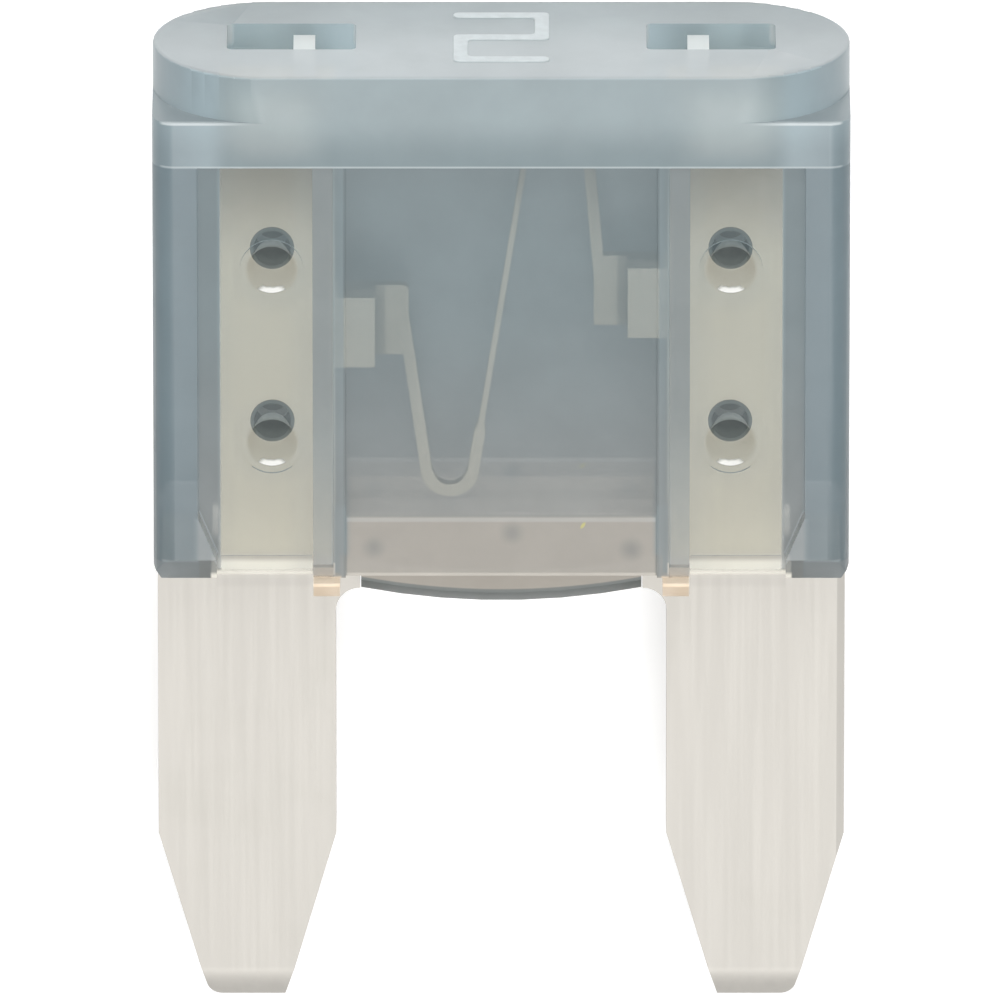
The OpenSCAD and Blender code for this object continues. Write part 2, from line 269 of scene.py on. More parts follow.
def stretched(tree, place, factors):
    """Coordinates stretched differently along each axis."""
    node = tree.nodes.new("ShaderNodeVectorMath")
    node.operation = "MULTIPLY"
    tree.links.new(place, node.inputs[0])
    node.inputs[1].default_value = factors
    return node.outputs[0]


def noise(tree, place, scale, detail=3.0, rough=0.55):
    """Noise of a scale per millimetre."""
    node = tree.nodes.new("ShaderNodeTexNoise")
    tree.links.new(place, node.inputs["Vector"])
    node.inputs["Scale"].default_value = scale
    node.inputs["Detail"].default_value = detail
    node.inputs["Roughness"].default_value = rough
    return node.outputs["Fac"]


def bump(tree, shader, height, strength, depth_mm):
    """Bump from a height, its depth in millimetres."""
    node = tree.nodes.new("ShaderNodeBump")
    node.inputs["Strength"].default_value = strength
    node.inputs["Distance"].default_value = depth_mm * MM
    tree.links.new(height, node.inputs["Height"])
    tree.links.new(node.outputs["Normal"], shader.inputs["Normal"])


# Materials


def opacity(tree, near, far, light):
    """Opacity on entering the plastic, on leaving it, and for light that passes through."""
    side = tree.nodes.new("ShaderNodeNewGeometry").outputs["Backfacing"]
    seen = mixed(tree, side, near, far)
    path = tree.nodes.new("ShaderNodeLightPath")
    passing = calc(tree, "MAXIMUM", path.outputs["Is Shadow Ray"], path.outputs["Is Diffuse Ray"])
    return mixed(tree, passing, seen, light)


def fuse_places(tree):
    """Distance from the middle, depth below the head's top, distance off the mid plane and height."""
    place, x, y, z = place_in_mm(tree)
    across = calc(tree, "ABSOLUTE", x)
    depth = calc(tree, "SUBTRACT", HEAD_TOP, y)
    off_mid = calc(tree, "ABSOLUTE", calc(tree, "SUBTRACT", z, MID_Z))
    return place, across, depth, off_mid, z


def true_normal(tree):
    """The true normal's parts."""
    normal = tree.nodes.new("ShaderNodeNewGeometry").outputs["True Normal"]
    split = tree.nodes.new("ShaderNodeSeparateXYZ")
    tree.links.new(normal, split.inputs[0])
    return split.outputs


def around(tree, across, depth, x, h):
    """Distance from a place on the front, and how far below it."""
    side = calc(tree, "POWER", calc(tree, "ABSOLUTE", calc(tree, "SUBTRACT", across, x)), 2.0)
    down = calc(tree, "SUBTRACT", depth, h)
    low = calc(tree, "POWER", calc(tree, "ABSOLUTE", down), 2.0)
    return calc(tree, "SQRT", calc(tree, "ADD", side, low)), down


def at_stakes(tree, across, depth, mark):
    """A mask at both stakes, from a function of the distance and the drop from a stake."""
    marks = [mark(*around(tree, across, depth, STAKE_X, stake)) for stake in STAKE_DEPTHS]
    return calc(tree, "MAXIMUM", *marks)


def stake_pins(tree, across, depth):
    """The stakes themselves."""

    def pin(reach, down):
        return fall(tree, reach, STAKE_R, STAKE_R + 0.01)

    return at_stakes(tree, across, depth, pin)


def stake_masks(tree, on):
    """Adds the dimples over the stakes, their lit lower rims and the milk round them."""

    def rim(reach, down):
        ring = between(tree, reach, DIMPLE_R - 0.05, DIMPLE_R - 0.01, 0.01)
        return both(tree, ring, fade(tree, down, 0.3, 0.35))

    def dimple(reach, down):
        return fall(tree, reach, DIMPLE_R, DIMPLE_R + 0.02)

    def milk(reach, down):
        return fade(tree, reach, DIMPLE_R, 0.85, 0.08, 0.0)

    wells = at_stakes(tree, on.across, on.depth, dimple)
    on.arc = at_stakes(tree, on.across, on.depth, rim)
    on.rear_well = both(tree, wells, fall(tree, on.z, 1.3, 1.5))
    on.well = both(tree, wells, fade(tree, on.z, 1.3, 1.5))
    on.halo = both(tree, at_stakes(tree, on.across, on.depth, milk), fall(tree, on.across, 4.15, 4.25))


def head_masks(tree, on):
    """Adds the parts of the head: its face, its shelf, its lit lines and its ends."""
    on.top = fall(tree, on.depth, 0.03, 0.05)
    on.crown_ends = both(tree, on.head, fade(tree, on.across, 4.2, 4.6))
    on.far_ends = both(tree, on.head, fade(tree, on.across, 4.6, 5.4))
    on.low_head = both(tree, on.head, fade(tree, on.depth, 0.7, 1.3))
    on.shelf = both(tree, on.end_face, between(tree, on.depth, LEDGE - 0.1, LEDGE + 0.04))
    beam = between(tree, on.across, RIB_OUT, 4.2, 0.35)
    on.glow = both(tree, beam, between(tree, on.depth, 0.3, 1.35, 0.3))
    rim = both(tree, between(tree, on.depth, HEAD_FOOT - 0.03, HEAD_FOOT + 0.01, 0.01),
               fade(tree, on.off_mid, 1.7, 1.75))
    ledge = both(tree, between(tree, on.depth, LEDGE - 0.01, LEDGE + 0.03, 0.01),
                 fade(tree, on.off_mid, 1.7, 1.76), fade(tree, on.across, 3.8, 4.6, 0.0, 0.8))
    on.rim = calc(tree, "MAXIMUM", calc(tree, "MULTIPLY", rim, 0.45), ledge)


def side_masks(tree, on):
    """Adds the parts beside the window: ribs, panels, wings, and the ramps at the wings' foot."""
    on.wing = fade(tree, on.across, WING_IN - 0.04, WING_IN + 0.04)
    on.low_wing = both(tree, on.wing, on.body)
    on.side = both(tree, on.body, between(tree, on.across, 4.42, WING_IN))
    rib = both(tree, between(tree, on.across, RIB_IN, RIB_OUT), fade(tree, on.off_mid, 1.5, 1.6))
    on.rib = both(tree, rib, on.body)
    # The ribs' lower ends, where light is painted on their downward bevel.
    rib_end = between(tree, on.across, RIB_IN - 0.02, RIB_OUT)
    on.rib_end = both(tree, rib_end, between(tree, on.depth, 8.22, BODY_FOOT - 0.05))
    past_top = calc(tree, "SUBTRACT", on.depth, RAMP_TOP)
    line = calc(tree, "MULTIPLY_ADD", past_top, RAMP_SLOPE, on.across)
    ramp = both(tree, fade(tree, line, WING_IN - 0.04, WING_IN - 0.02),
                between(tree, on.depth, RAMP_TOP, RAMP_FOOT))
    on.ramp = both(tree, ramp, fall(tree, on.across, WING_IN - 0.05, WING_IN + 0.1))
    wall = both(tree, between(tree, line, WING_IN - 0.04, WING_IN + 0.04),
                between(tree, on.off_mid, 1.46, 1.79, 0.01))
    on.wall = both(tree, wall, between(tree, on.depth, RAMP_TOP, RAMP_FOOT + 0.1))
    on.wing_line = both(tree, on.wing, between(tree, on.depth, RAMP_FOOT, RAMP_FOOT + 0.05),
                        fade(tree, on.off_mid, 1.7, 1.75))
    on.wing_bevel = both(tree, on.low_wing, fade(tree, on.depth, RAMP_FOOT + 0.02, RAMP_FOOT + 0.06))


def foot_masks(tree, on):
    """Adds the parts at the foot: end faces, lit panel edges, rib feet, and the lips' edges."""
    on.below = fade(tree, on.depth, BODY_FOOT - 0.05, BODY_FOOT + 0.02)
    on.ends = both(tree, on.end_face, fade(tree, on.depth, 2.0, 2.1))
    on.dark_ends = both(tree, on.ends, fade(tree, on.across, SLOT_HALF_X + 0.02, SLOT_HALF_X + 0.2))
    beside = between(tree, on.across, RIB_OUT, SLOT_HALF_X + 0.08)
    on.lit = both(tree, beside, fade(tree, on.depth, PANEL_FOOT, PANEL_FOOT + 0.11))
    on.bright = both(tree, on.lit, fade(tree, on.off_mid, 0.5, 0.8))
    # The ribs' feet, where a warm glow is painted.
    on.rib_foot = both(tree, on.below, between(tree, on.across, RIB_IN - 0.12, RIB_OUT + 0.02))
    foot_line = between(tree, on.depth, BODY_FOOT - 0.05, BODY_FOOT + 0.01, 0.01)
    on.foot_line = both(tree, foot_line, on.glass)
    bow = calc(tree, "POWER", calc(tree, "DIVIDE", on.across, WINDOW_HALF - 0.2), 2.0)
    lip_foot = calc(tree, "MULTIPLY_ADD", bow, -LIP_BOW, BODY_FOOT + LIP_DROP + LIP_BOW)
    # The lips' lower edges, as a band wider than their bevel, where shade is painted.
    edge = fall(tree, calc(tree, "SUBTRACT", lip_foot, on.depth), 0.24, 0.27)
    on.lip = both(tree, on.below, on.window)
    on.lip_edge = both(tree, edge, fade(tree, on.depth, BODY_FOOT, BODY_FOOT + 0.02), on.window)


def skin_places(tree):
    """Coordinates of the outer faces and a mask for each of their parts."""
    place, across, depth, off_mid, z = fuse_places(tree)
    on = SimpleNamespace(place=place, across=across, depth=depth, off_mid=off_mid, z=z)
    on.head = fall(tree, depth, HEAD_FOOT - 0.02, HEAD_FOOT + 0.02)
    on.body = calc(tree, "SUBTRACT", 1.0, on.head)
    on.window = fall(tree, across, RIB_IN - 0.05, RIB_IN)
    on.glass = fall(tree, across, WINDOW_HALF - 0.04, WINDOW_HALF)
    on.end_face = fade(tree, calc(tree, "ABSOLUTE", true_normal(tree)[1]), 0.75, 0.85)
    head_masks(tree, on)
    side_masks(tree, on)
    foot_masks(tree, on)
    stake_masks(tree, on)
    return on


def window_colour(tree, settings, on):
    """Colour of the window and of the band below it, with its spots and its flake."""
    low = fade(tree, on.depth, HEAD_FOOT + 2, BODY_FOOT)
    colour = blend(tree, low, tuple(settings.tint), tuple(settings.low_tint))
    dim = calc(tree, "MAXIMUM", on.window, fade(tree, on.across, 4.4, 4.5, 0.0, 1.5))
    colour = darken(tree, colour, both(tree, on.body, dim), 0.84)
    band = both(tree, on.glass, fade(tree, on.depth, BAND_TOP - 0.03, BAND_TOP + 0.02))
    colour = lay(tree, colour, band, settings.bridge_tint, 0.6)
    # Painted highlight along the top edge of the band.
    line = both(tree, on.glass, between(tree, on.depth, BAND_TOP, BAND_TOP + 0.07))
    colour = lay(tree, colour, line, settings.rim_tint, 0.35)
    x = place_in_mm(tree)[1]
    for spot_x, spot_depth, size in SPOTS:
        reach, _ = around(tree, x, on.depth, spot_x, spot_depth)
        colour = lay(tree, colour, fade(tree, reach, 0.0, size, 0.75, 0.0), settings.spot_tint)
    lean = calc(tree, "MULTIPLY_ADD", x, FLAKE_LEAN, on.depth)
    reach, _ = around(tree, x, lean, FLAKE_X, FLAKE_DEPTH + FLAKE_LEAN * FLAKE_X)
    colour = lay(tree, colour, fade(tree, reach, 0.02, 0.055, 0.85, 0.0), settings.flake_tint)
    rib = both(tree, on.rib, fade(tree, on.depth, 5.0, 8.0, 0.8, 0.2))
    return lay(tree, colour, rib, settings.rib_tint)


def head_colour(tree, settings, on, colour):
    """Lays the head's colours over the body's, with painted light on its upper part, its face and its
    lit edges, and a painted glow from the terminals.
    """
    # Painted light: the head's upper part is paler, as light from above spreads into it.
    upper = both(tree, on.head, fade(tree, on.depth, 0.6, 1.5, 0.8, 0.0))
    colour = lay(tree, colour, upper, settings.head_lit_tint)
    colour = lay(tree, colour, on.crown_ends, settings.crown_end_tint, 0.9)
    colour = lay(tree, colour, on.glow, settings.glow_tint, 0.5)
    colour = darken(tree, colour, on.low_head, 0.85)
    colour = darken(tree, colour, on.far_ends, 0.8)
    colour = lay(tree, colour, on.shelf, settings.shelf_tint)
    colour = lay(tree, colour, on.rim, settings.rim_tint)
    # Painted light: the head's face takes a paler copy of the plastic's colour, as lit from above,
    # darker towards the back and towards its ends.
    forward = fade(tree, on.z, 0.2, 2.6)
    face = blend(tree, forward, tuple(settings.top_back_tint), tuple(settings.lit_face_tint))
    face = blend(tree, 1.0, face, fade(tree, on.across, 2.0, 3.4, 1.0, 0.93), "MULTIPLY")
    return blend(tree, on.top, colour, face)


def side_colour(tree, settings, on, colour):
    """Lays the wings', lips' and feet's colours over the rest, with painted light on ramps, walls,
    bevels, rib ends and lit edges, a painted glow on the rib feet and painted shade on the lips' lower
    edges.
    """
    colour = darken(tree, colour, on.side, 0.88)
    low = fade(tree, on.depth, 5.5, 7.8, 1.0, 0.88)
    wing = blend(tree, 1.0, tuple(settings.wing_tint), low, "MULTIPLY")
    colour = blend(tree, on.low_wing, colour, wing)
    for mask, shade, strength in (
        (on.lip, settings.lip_tint, 1.0),
        (on.foot_line, settings.foot_line_tint, 0.7),
        # painted shade along the lips' lower edges
        (on.lip_edge, settings.lip_edge_shade_tint, 1.0),
        # painted warm glow at the ribs' feet
        (on.rib_foot, settings.rib_foot_glow_tint, 1.0),
        # painted light on the ramps and their walls, and a painted highlight line along the wings'
        # foot
        (on.ramp, settings.lit_face_tint, 0.4),
        (on.wall, settings.lit_face_tint, 1.0),
        (on.wing_line, settings.lit_face_tint, 0.45),
        # painted light on the ribs' lower ends
        (on.rib_end, settings.foot_line_tint, 0.8),
        (both(tree, on.lit, fade(tree, on.off_mid, 0.4, 0.5)), settings.foot_line_tint, 1.0),
        (on.bright, settings.lit_tint, 1.0),
        # painted light lifting the wings' foot bevels, which face down into shade
        (on.wing_bevel, settings.bevel_light_tint, 1.0),
        (on.dark_ends, settings.end_tint, 1.0),
    ):
        colour = lay(tree, colour, mask, shade, strength)
    return colour


def skin_haze(tree, settings, on):
    """How milky each part of the outer faces is on entering the plastic."""
    inner = fade(tree, on.across, RIB_OUT, RIB_OUT + 0.5, 0.12, 0.0)
    outer = fade(tree, on.across, 4.0, 4.4, 0.0, 0.06)
    haze = calc(tree, "ADD", settings.haze, on.halo)
    haze = calc(tree, "ADD", haze, calc(tree, "ADD", inner, outer))
    low_rib = fade(tree, on.depth, 5.0, 8.3, settings.rib_haze, settings.rib_haze * 0.7)
    near_window = both(tree, on.below, fall(tree, on.across, RIB_OUT, RIB_OUT + 0.04))
    for mask, milk in (
        (fade(tree, on.across, 4.37, 4.42), settings.side_haze),
        (on.window, settings.window_haze),
        (on.rib, low_rib),
        (between(tree, on.across, WINDOW_HALF + 0.03, RIB_IN + 0.03), settings.strip_haze),
        (on.wing, settings.wing_haze),
        (on.head, settings.head_haze),
        (on.top, settings.top_haze),
        (near_window, settings.foot_haze),
        (both(tree, on.ends, calc(tree, "SUBTRACT", 1.0, on.well)), settings.foot_haze),
        (calc(tree, "MAXIMUM", on.wall, on.rib_end), settings.lit_haze),
        (on.lit, settings.lit_haze),
        (on.well, settings.well_haze),
        (on.arc, settings.rim_haze),
    ):
        haze = mixed(tree, mask, haze, milk)
    return haze


def plastic_skin(settings):
    """Outer faces: milky blue-grey plastic, denser at the head and ribs, warmer at the foot partly
    through a painted glow, with painted light and shade on its faces and edges.
    """
    material, tree, shader = new_material("milky_plastic")
    on = skin_places(tree)
    colour = window_colour(tree, settings, on)
    colour = head_colour(tree, settings, on, colour)
    colour = side_colour(tree, settings, on, colour)
    cloud = fade(tree, noise(tree, on.place, 0.9, 4.0), 0.2, 0.8, 0.94, 1.05)
    colour = blend(tree, 1.0, colour, cloud, "MULTIPLY")
    # Painted shade: the rear dimples' floors, seen through the metal's holes, are laid dark.
    colour = lay(tree, colour, on.rear_well, settings.hole_shade_tint)
    colour = lay(tree, colour, on.well, settings.well_tint)
    colour = lay(tree, colour, on.arc, settings.dimple_rim_tint)
    feed(tree, shader.inputs["Base Color"], colour)
    feed(tree, shader.inputs["Specular IOR Level"], mixed(tree, on.well, 0.5, 0.05))
    shader.inputs["Emission Color"].default_value = tuple(settings.lit_tint)
    foot_light = calc(tree, "MULTIPLY", on.bright, settings.foot_light)
    feed(tree, shader.inputs["Emission Strength"], foot_light)
    haze = skin_haze(tree, settings, on)
    feed(tree, shader.inputs["Alpha"], opacity(tree, haze, settings.backing, settings.shade))
    fine = noise(tree, on.place, 2.2, 3.0, 0.5)
    feed(tree, shader.inputs["Roughness"], calc(tree, "MULTIPLY_ADD", fine, 0.12, 0.26))
    shader.inputs["IOR"].default_value = 1.5
    bump(tree, shader, fine, 0.1, 0.004)
    return material


def plastic_bore(settings):
    """Inner faces: nearly clear from outside, but milky and warm below the window, with painted shade
    in the hollows and the stakes' holes and painted glints at the probe openings' ends.
    """
    material, tree, shader = new_material("clear_cavity")
    place, across, depth, _, _ = fuse_places(tree)
    below = fade(tree, depth, BRIDGE_TOP - 0.02, BRIDGE_TOP + 0.02)
    bridge = both(tree, below, fall(tree, across, RIB_IN - 0.03, RIB_IN))
    band = both(tree, below, fall(tree, across, WINDOW_HALF - 0.1, WINDOW_HALF))
    probe = fall(tree, depth, 1.25, 1.4)
    pin = stake_pins(tree, across, depth)
    # Painted shade: the hollows' far walls are darker than the plastic, so the hollows read darker.
    low = fade(tree, depth, 3.0, BRIDGE_TOP)
    colour = blend(tree, low, tuple(settings.hollow_tint), tuple(settings.low_hollow_tint))
    colour = lay(tree, colour, bridge, settings.tint)
    colour = lay(tree, colour, band, settings.bridge_tint)
    colour = lay(tree, colour, probe, settings.probe_tint)
    glint = calc(tree, "ADD", fade(tree, across, 4.16, 4.24), fall(tree, across, 2.28, 2.34))
    glint = both(tree, glint, fade(tree, depth, 0.25, 0.45, 0.7, 0.0))
    colour = lay(tree, colour, glint, settings.glint_tint)
    cloud = fade(tree, noise(tree, place, 1.4, 4.0), 0.2, 0.8, 0.92, 1.06)
    colour = blend(tree, 1.0, colour, cloud, "MULTIPLY")
    # Painted shade: the stakes in the metal's holes are laid dark and nearly opaque, standing for the
    # deep punch holes.
    colour = lay(tree, colour, pin, settings.hole_shade_tint)
    feed(tree, shader.inputs["Base Color"], colour)
    shader.inputs["Roughness"].default_value = 0.3
    shader.inputs["IOR"].default_value = 1.3
    near = mixed(tree, bridge, settings.near_haze, settings.bridge_haze)
    near = mixed(tree, pin, near, settings.pin_haze)
    far = mixed(tree, pin, settings.far_haze, settings.pin_haze)
    feed(tree, shader.inputs["Alpha"], opacity(tree, far, near, 0.0))
    return material


def metal_shade(tree, across, x, y, z):
    """Painted light and shade on the element: how much light reaches each part of it through the
    plastic.
    """
    window = both(tree, fall(tree, across, 2.5, 2.6), fade(tree, y, at(8.4), at(8.3)))
    upper = both(tree, window, fade(tree, true_normal(tree)[1], 0.6, 0.8))
    deep = both(tree, window, fall(tree, z, 1.7, 1.9))
    pin = stake_pins(tree, across, calc(tree, "SUBTRACT", HEAD_TOP, y))
    contact = both(tree, between(tree, y, at(9.0), at(8.83), 0.05),
                   between(tree, across, RIB_OUT, SLOT_HALF_X))
    shade = fade(tree, y, at(3.7), at(1.8), 1.0, 0.45)
    for mask, share in (
        (pin, 0.2),
        (contact, 0.94),
        (window, 0.86),
        (upper, 0.35),
        (both(tree, deep, fade(tree, across, 1.25, 1.5)), 0.8),
        (both(tree, deep, fade(tree, across, 1.78, 1.86)), 0.6),
    ):
        shade = lessen(tree, shade, mask, share)
    shade = mixed(tree, fade(tree, y, at(1.3), at(1.0)), shade, 1.0)
    shade = mixed(tree, fall(tree, y, at(15.5), at(15.4)), shade, 1.1)
    edge = both(tree, fade(tree, x, 5.27, 5.29),
                fade(tree, y, at(BODY_FOOT + 0.1), at(BODY_FOOT + 0.2)))
    return mixed(tree, edge, shade, 0.8)


def plated_metal(settings):
    """Matt plated sheet with faint rolling lines along the blades, and painted light and shade laid
    into its colour.
    """
    material, tree, shader = new_material("plated_sheet")
    place, x, y, z = place_in_mm(tree)
    across = calc(tree, "ABSOLUTE", x)
    lines = noise(tree, stretched(tree, place, (9.0, 0.25, 9.0)), 1.0, 4.0, 0.6)
    patches = noise(tree, place, 0.7, 3.0)
    inside = fade(tree, y, at(BODY_FOOT + 0.2), at(BODY_FOOT - 0.1))
    colour = blend(tree, inside, tuple(settings.metal_tint), tuple(settings.inner_tint))
    colour = lay(tree, colour, fade(tree, y, at(0.6), at(0.4)), settings.tip_tint)
    tone = fade(tree, lines, 0.3, 0.7, 0.98, 1.01)
    # Painted light and shade from metal_shade are multiplied into the colour with the rolling lines.
    tone = calc(tree, "MULTIPLY", tone, metal_shade(tree, across, x, y, z))
    colour = blend(tree, 1.0, colour, tone, "MULTIPLY")
    colour = lay(tree, colour, fade(tree, patches, 0.5, 0.75, 0.0, 0.3), settings.tarnish)
    feed(tree, shader.inputs["Base Color"], colour)
    shader.inputs["Metallic"].default_value = 0.35
    feed(tree, shader.inputs["Roughness"], fade(tree, lines, 0.3, 0.7, 0.47, 0.55))
    bump(tree, shader, lines, 0.12, 0.006)
    return material


def numeral_paint(settings):
    """Whiter, denser plastic of the raised numeral."""
    material, tree, shader = new_material("raised_white")
    place = place_in_mm(tree)[0]
    tone = fade(tree, noise(tree, place, 6.0, 3.0), 0.3, 0.7, 0.93, 1.04)
    colour = blend(tree, 1.0, tuple(settings.numeral_tint), tone, "MULTIPLY")
    feed(tree, shader.inputs["Base Color"], colour)
    shader.inputs["Roughness"].default_value = 0.32
    shader.inputs["IOR"].default_value = 1.5
    return material


# Settings


def tint(name, description, colour):
    """A colour setting."""
    return bpy.props.FloatVectorProperty(
        name=name, description=description, subtype="COLOR",
        size=4, min=0.0, max=1.0, default=(*colour, 1.0))


def share(name, description, value):
    """A setting from 0 to 1."""
    return bpy.props.FloatProperty(
        name=name, description=description, default=value, min=0.0, max=1.0, subtype="FACTOR")


def length(name, description, value, **limits):
    """A length setting, given in millimetres."""
    return bpy.props.FloatProperty(
        name=name, description=description, default=value * MM, unit="LENGTH", **limits)


class FuseHousingSettings(bpy.types.PropertyGroup):
    """Sizes and colours of the housing."""

    edge_round: length("Edge round", "Width of the rounding on moulded edges", 0.03, min=0.0)
    head_step: length("Head step", "Drop of the head's face below the numeral", 0.02, min=0.0)
    tint: tint("Tint", "Colour of the milky plastic", (0.2, 0.265, 0.285))
    low_tint: tint("Low tint", "Colour at the foot", (0.25, 0.275, 0.275))
    # Painted light: the head's upper part made paler.
    head_lit_tint: tint("Head tint", "Paler colour of the head", (0.28, 0.338, 0.355))
    crown_end_tint: tint("Crown end tint", "Colour of the crown's round ends", (0.307, 0.385, 0.418))
    # Painted light: the head's face as lit from above, also laid on the ramps, their walls and the
    # wings' foot line.
    lit_face_tint: tint("Top tint", "Colour of the head's face", (0.385, 0.425, 0.44))
    top_back_tint: tint("Top back tint", "The same at the back", (0.275, 0.32, 0.335))
    shelf_tint: tint("Shelf tint", "Colour of the shelf beside the crown", (0.2, 0.24, 0.255))
    rim_tint: tint("Rim tint", "Colour of the head's lit lower edges", (0.6, 0.65, 0.66))
    glow_tint: tint("Glow tint", "Colour of the terminals' glow in the head", (0.38, 0.43, 0.43))
    wing_tint: tint("Wing tint", "Colour of the wings", (0.165, 0.22, 0.245))
    # Painted light: lifts the wings' foot bevels, which face down into shade.
    bevel_light_tint: tint("Bevel tint", "Colour of the bevels at the wings' foot", (0.2, 0.235, 0.25))
    rib_tint: tint("Rib tint", "Colour of the ribs", (0.15, 0.175, 0.18))
    # Painted glow: warm light at the ribs' feet.
    rib_foot_glow_tint: tint("Rib foot tint", "Colour of the ribs' feet", (0.92, 0.74, 0.55))
    lip_tint: tint("Lip tint", "Colour of the bowed lips", (0.33, 0.3, 0.255))
    # Painted shade along the lips' lower edges.
    lip_edge_shade_tint: tint("Lip edge tint", "Colour of the lips' lower edges", (0.128, 0.144, 0.137))
    foot_line_tint: tint("Foot line tint", "Colour of the lit edge above the lips", (0.62, 0.58, 0.52))
    lit_tint: tint("Lit tint", "Colour of the panels' lit feet", (1.0, 0.97, 0.87))
    end_tint: tint("End tint", "Colour of the lower end faces", (0.31, 0.325, 0.315))
    bridge_tint: tint("Bridge tint", "Colour of the band below the window", (0.405, 0.368, 0.318))
    spot_tint: tint("Spot tint", "Colour of the dark spots in the band", (0.14, 0.165, 0.17))
    flake_tint: tint("Flake tint", "Colour of the flake in the band", (0.62, 0.6, 0.1))
    # Painted shade: the hollows' far walls, darker than the plastic.
    hollow_tint: tint("Hollow tint", "Colour of the hollows' far walls", (0.135, 0.157, 0.165))
    low_hollow_tint: tint("Low hollow tint", "The same at the window's foot", (0.133, 0.141, 0.146))
    probe_tint: tint("Probe tint", "Colour inside the probe openings", (0.44, 0.61, 0.68))
    glint_tint: tint("Glint tint", "Colour of the probe openings' ends", (0.75, 0.8, 0.8))
    # Painted shade of the deep holes at the stakes.
    hole_shade_tint: tint("Stake tint", "Colour of the stakes in the metal's holes", (0.105, 0.125, 0.115))
    well_tint: tint("Well tint", "Colour of the dimples over the stakes", (0.22, 0.25, 0.25))
    dimple_rim_tint: tint("Dimple rim tint", "Colour of the dimples' lit rims", (0.85, 0.85, 0.83))
    haze: share("Haze", "Opacity of a panel on entering the plastic", 0.26)
    side_haze: share("Side haze", "Opacity beside the terminals", 0.8)
    strip_haze: share("Strip haze", "Opacity of the strip between window and rib", 0.85)
    window_haze: share("Window haze", "Opacity of the window on entering the plastic", 0.6)
    rib_haze: share("Rib haze", "Opacity of a rib", 0.92)
    wing_haze: share("Wing haze", "Opacity of a wing", 0.72)
    head_haze: share("Head haze", "Opacity of the head's sides", 0.98)
    top_haze: share("Top haze", "Opacity of the head's face", 0.86)
    foot_haze: share("Foot haze", "Opacity of the lips and the end faces", 0.9)
    lit_haze: share("Lit haze", "Opacity of the panels' lit feet", 0.93)
    well_haze: share("Well haze", "Opacity of the dimples over the stakes", 0.36)
    rim_haze: share("Rim haze", "Opacity of the dimples' lit rims", 0.95)
    backing: share("Backing", "Opacity of a face on leaving the plastic", 0.93)
    near_haze: share("Near haze", "Opacity of a hollow's near wall", 0.04)
    far_haze: share("Far haze", "Opacity of a hollow's far wall", 0.35)
    pin_haze: share("Pin haze", "Opacity of the stakes", 0.8)
    bridge_haze: share("Bridge haze", "Opacity of the walls below the window", 0.95)
    shade: share("Shade", "Share of the light that each outer face keeps back", 0.15)
    foot_light: share("Foot light", "Light that the plastic leads to its lit feet", 0.12)


class FuseElementSettings(bpy.types.PropertyGroup):
    """Sizes and colours of the stamped element."""

    edge_round: length("Edge round", "Width of the rounding on stamped edges", 0.025, min=0.0)
    metal_tint: tint("Metal tint", "Colour of the bare plated blades", (0.6, 0.575, 0.53))
    inner_tint: tint("Inner tint", "Colour of the metal inside the plastic", (0.63, 0.595, 0.485))
    tip_tint: tint("Tip tint", "Colour of the ends in the probe openings", (0.56, 0.6, 0.6))
    tarnish: tint("Tarnish", "Colour of the duller patches", (0.55, 0.53, 0.48))


class FuseNumeralSettings(bpy.types.PropertyGroup):
    """Size, place and colour of the raised numeral."""

    width: length("Width", "Width of the numeral", 1.5)
    height: length("Height", "Height of the numeral", 2.28)
    stroke: length("Stroke", "Width of the numeral's strokes", 0.23)
    rise: length("Rise", "Height of the numeral above the head", 0.02)
    corner: length("Corner", "Rounding of the numeral's corners", 0.09)
    across: length("Across", "Place of the numeral's middle across the head", 0.0)
    backward: length("Backward", "Step of the numeral's middle towards the back", 0.07)
    numeral_tint: tint("Numeral tint", "Colour of the numeral", (0.465, 0.515, 0.53))


class FuseStageSettings(bpy.types.PropertyGroup):
    """Floor, lamps and camera."""

    tilt: bpy.props.FloatProperty(
        name="Tilt", description="Lean of the camera from straight above towards the head",
        default=math.radians(20.4), subtype="ANGLE")
    distance: length("Distance", "Distance of the camera", 500.0)
    aim: length("Aim", "Place along the fuse that the camera looks at", -0.4)
    frame_width: length("Frame width", "Width of the picture at the fuse", 15.78)
    key_power: bpy.props.FloatProperty(
        name="Key power", description="Power of the lamp beyond the head", default=1.3, unit="POWER")
    top_power: bpy.props.FloatProperty(
        name="Top power", description="Power of the lamp overhead", default=0.9, unit="POWER")
    sky: bpy.props.FloatProperty(
        name="Sky", description="Strength of the even light all round", default=0.35)


# Housing


def is_cavity(centre):
    """True for a face of the chamber, a slot or a probe opening."""
    x, depth = abs(centre.x) / MM, HEAD_TOP - centre.y / MM
    off_mid = abs(centre.z / MM - MID_Z)
    near_stake = any(
        math.hypot(x - STAKE_X, depth - stake) < DIMPLE_R for stake in STAKE_DEPTHS)
    if near_stake and off_mid > SLOT_HALF_Z + 0.05:
        return False
    if depth > BODY_FOOT - 0.02 or x > SLOT_HALF_X:
        return False
    in_chamber = x < WINDOW_HALF + 0.01 and depth > CHAMBER_TOP - 0.02 and off_mid < CHAMBER_HALF_Z
    in_probe = 0.04 < depth < HEAD_FOOT and off_mid < 0.75
    in_slot = depth > 0.5 and off_mid < SLOT_HALF_Z
    return in_chamber or in_probe or in_slot


